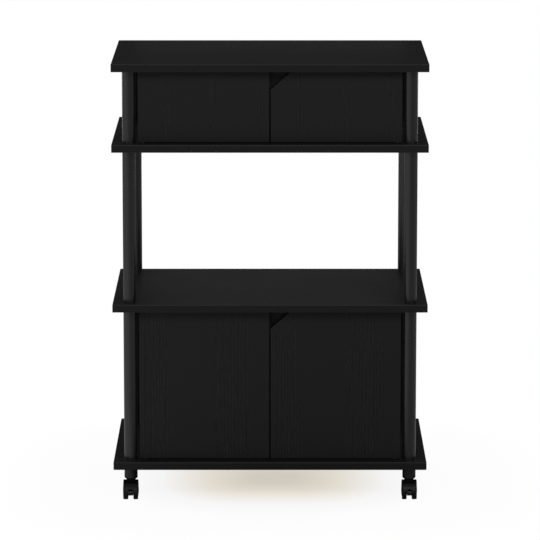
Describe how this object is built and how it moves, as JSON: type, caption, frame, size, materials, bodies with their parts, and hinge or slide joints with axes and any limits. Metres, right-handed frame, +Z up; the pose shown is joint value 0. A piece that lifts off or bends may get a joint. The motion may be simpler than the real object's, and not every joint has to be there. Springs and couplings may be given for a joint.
{
  "type": "kitchen trolley",
  "caption": "Black kitchen trolley with boards on round posts, an open middle tier, cabinets with pin-hinged doors above and below, and twin-wheel swivel casters with brakes at the front.",
  "frame": {"origin": "on the floor under the middle of the trolley", "axes": "+X to the right seen from the front, -Y towards the front, +Z up"},
  "size_m": [0.6, 0.394, 0.844],
  "materials": {
    "board_laminate": "black wood-grain laminate, satin, with banded edges",
    "door_laminate": "black laminate with an embossed upright grain, satin",
    "panel_laminate": "black wood-grain laminate, satin",
    "back_board": "painted thin fibreboard, matte",
    "post_plastic": "black plastic, satin",
    "plug_plastic": "moulded nylon, matte",
    "steel": "zinc-plated, brushed",
    "pin_plastic": "grey nylon, matte",
    "dowel_wood": "fluted beech",
    "caster_plastic": "black nylon, satin",
    "wheel_plastic": "black nylon, matte",
    "lever_plastic": "dark grey nylon, matte"
  },
  "bodies": {
    "frame": {"top_board": "board_laminate", "upper_shelf": "board_laminate", "middle_shelf": "board_laminate", "bottom_shelf": "board_laminate", "upper_post_front_left": "post_plastic", "upper_post_front_right": "post_plastic", "upper_post_rear_left": "post_plastic", "upper_post_rear_right": "post_plastic", "middle_post_front_left": "post_plastic", "middle_post_front_right": "post_plastic", "middle_post_rear_left": "post_plastic", "middle_post_rear_right": "post_plastic", "lower_post_front_left": "post_plastic", "lower_post_front_right": "post_plastic", "lower_post_rear_left": "post_plastic", "lower_post_rear_right": "post_plastic", "post_plugs": "plug_plastic", "post_studs": "steel", "foot_front_left": "post_plastic", "foot_front_right": "post_plastic", "foot_rear_left": "post_plastic", "foot_rear_right": "post_plastic", "upper_door_pins": "pin_plastic", "lower_door_pins": "pin_plastic", "upper_side_left": "panel_laminate", "upper_side_right": "panel_laminate", "lower_side_left": "panel_laminate", "lower_side_right": "panel_laminate", "upper_back": "back_board", "lower_back": "back_board", "upper_stop_rail": "panel_laminate", "lower_stop_rail": "panel_laminate", "catch_magnets": "steel", "panel_dowels": "dowel_wood", "caster_stem_front_left": "steel", "caster_stem_front_right": "steel", "caster_stem_rear_left": "steel", "caster_stem_rear_right": "steel"},
    "upper_left_door": {"upper_door_left": "door_laminate"},
    "upper_right_door": {"upper_door_right": "door_laminate"},
    "lower_left_door": {"lower_door_left": "door_laminate"},
    "lower_right_door": {"lower_door_right": "door_laminate"},
    "front_left_caster": {"caster_cover_front_left": "caster_plastic", "caster_axle_front_left": "steel"},
    "front_left_outer_wheel": {"front_left_wheel_outer": "wheel_plastic"},
    "front_left_inner_wheel": {"front_left_wheel_inner": "wheel_plastic"},
    "left_brake": {"brake_lever_left": "lever_plastic"},
    "front_right_caster": {"caster_cover_front_right": "caster_plastic", "caster_axle_front_right": "steel"},
    "front_right_outer_wheel": {"front_right_wheel_outer": "wheel_plastic"},
    "front_right_inner_wheel": {"front_right_wheel_inner": "wheel_plastic"},
    "right_brake": {"brake_lever_right": "lever_plastic"},
    "rear_left_caster": {"caster_cover_rear_left": "caster_plastic", "caster_axle_rear_left": "steel"},
    "rear_left_outer_wheel": {"rear_left_wheel_outer": "wheel_plastic"},
    "rear_left_inner_wheel": {"rear_left_wheel_inner": "wheel_plastic"},
    "rear_right_caster": {"caster_cover_rear_right": "caster_plastic", "caster_axle_rear_right": "steel"},
    "rear_right_outer_wheel": {"rear_right_wheel_outer": "wheel_plastic"},
    "rear_right_inner_wheel": {"rear_right_wheel_inner": "wheel_plastic"}
  },
  "joints": [
    {"name": "upper_left_door_hinge", "type": "hinge", "parent": "frame", "child": "upper_left_door", "pos_m": [-0.2409, -0.1615, 0.76], "axis": [0, 0, 1], "range_deg": [-120, 0]},
    {"name": "upper_right_door_hinge", "type": "hinge", "parent": "frame", "child": "upper_right_door", "pos_m": [0.2409, -0.1615, 0.76], "axis": [0, 0, 1], "range_deg": [0, 120]},
    {"name": "lower_left_door_hinge", "type": "hinge", "parent": "frame", "child": "lower_left_door", "pos_m": [-0.2409, -0.1615, 0.223], "axis": [0, 0, 1], "range_deg": [-120, 0]},
    {"name": "lower_right_door_hinge", "type": "hinge", "parent": "frame", "child": "lower_right_door", "pos_m": [0.2409, -0.1615, 0.223], "axis": [0, 0, 1], "range_deg": [0, 120]},
    {"name": "front_left_swivel", "type": "hinge", "parent": "frame", "child": "front_left_caster", "pos_m": [-0.2675, -0.163, 0.039], "axis": [0, 0, 1], "continuous": true},
    {"name": "front_left_outer_wheel_spin", "type": "hinge", "parent": "front_left_caster", "child": "front_left_outer_wheel", "pos_m": [-0.2768, -0.176, 0.018], "axis": [1, 0, 0], "continuous": true},
    {"name": "front_left_inner_wheel_spin", "type": "hinge", "parent": "front_left_caster", "child": "front_left_inner_wheel", "pos_m": [-0.2582, -0.176, 0.018], "axis": [1, 0, 0], "continuous": true},
    {"name": "left_brake_press", "type": "hinge", "parent": "front_left_caster", "child": "left_brake", "pos_m": [-0.2675, -0.176, 0.018], "axis": [1, 0, 0], "range_deg": [0, 15]},
    {"name": "front_right_swivel", "type": "hinge", "parent": "frame", "child": "front_right_caster", "pos_m": [0.2675, -0.163, 0.039], "axis": [0, 0, 1], "continuous": true},
    {"name": "front_right_outer_wheel_spin", "type": "hinge", "parent": "front_right_caster", "child": "front_right_outer_wheel", "pos_m": [0.2768, -0.176, 0.018], "axis": [1, 0, 0], "continuous": true},
    {"name": "front_right_inner_wheel_spin", "type": "hinge", "parent": "front_right_caster", "child": "front_right_inner_wheel", "pos_m": [0.2582, -0.176, 0.018], "axis": [1, 0, 0], "continuous": true},
    {"name": "right_brake_press", "type": "hinge", "parent": "front_right_caster", "child": "right_brake", "pos_m": [0.2675, -0.176, 0.018], "axis": [1, 0, 0], "range_deg": [0, 15]},
    {"name": "rear_left_swivel", "type": "hinge", "parent": "frame", "child": "rear_left_caster", "pos_m": [-0.2675, 0.163, 0.039], "axis": [0, 0, 1], "continuous": true},
    {"name": "rear_left_outer_wheel_spin", "type": "hinge", "parent": "rear_left_caster", "child": "rear_left_outer_wheel", "pos_m": [-0.2768, 0.15, 0.018], "axis": [1, 0, 0], "continuous": true},
    {"name": "rear_left_inner_wheel_spin", "type": "hinge", "parent": "rear_left_caster", "child": "rear_left_inner_wheel", "pos_m": [-0.2582, 0.15, 0.018], "axis": [1, 0, 0], "continuous": true},
    {"name": "rear_right_swivel", "type": "hinge", "parent": "frame", "child": "rear_right_caster", "pos_m": [0.2675, 0.163, 0.039], "axis": [0, 0, 1], "continuous": true},
    {"name": "rear_right_outer_wheel_spin", "type": "hinge", "parent": "rear_right_caster", "child": "rear_right_outer_wheel", "pos_m": [0.2768, 0.15, 0.018], "axis": [1, 0, 0], "continuous": true},
    {"name": "rear_right_inner_wheel_spin", "type": "hinge", "parent": "rear_right_caster", "child": "rear_right_inner_wheel", "pos_m": [0.2582, 0.15, 0.018], "axis": [1, 0, 0], "continuous": true}
  ]
}
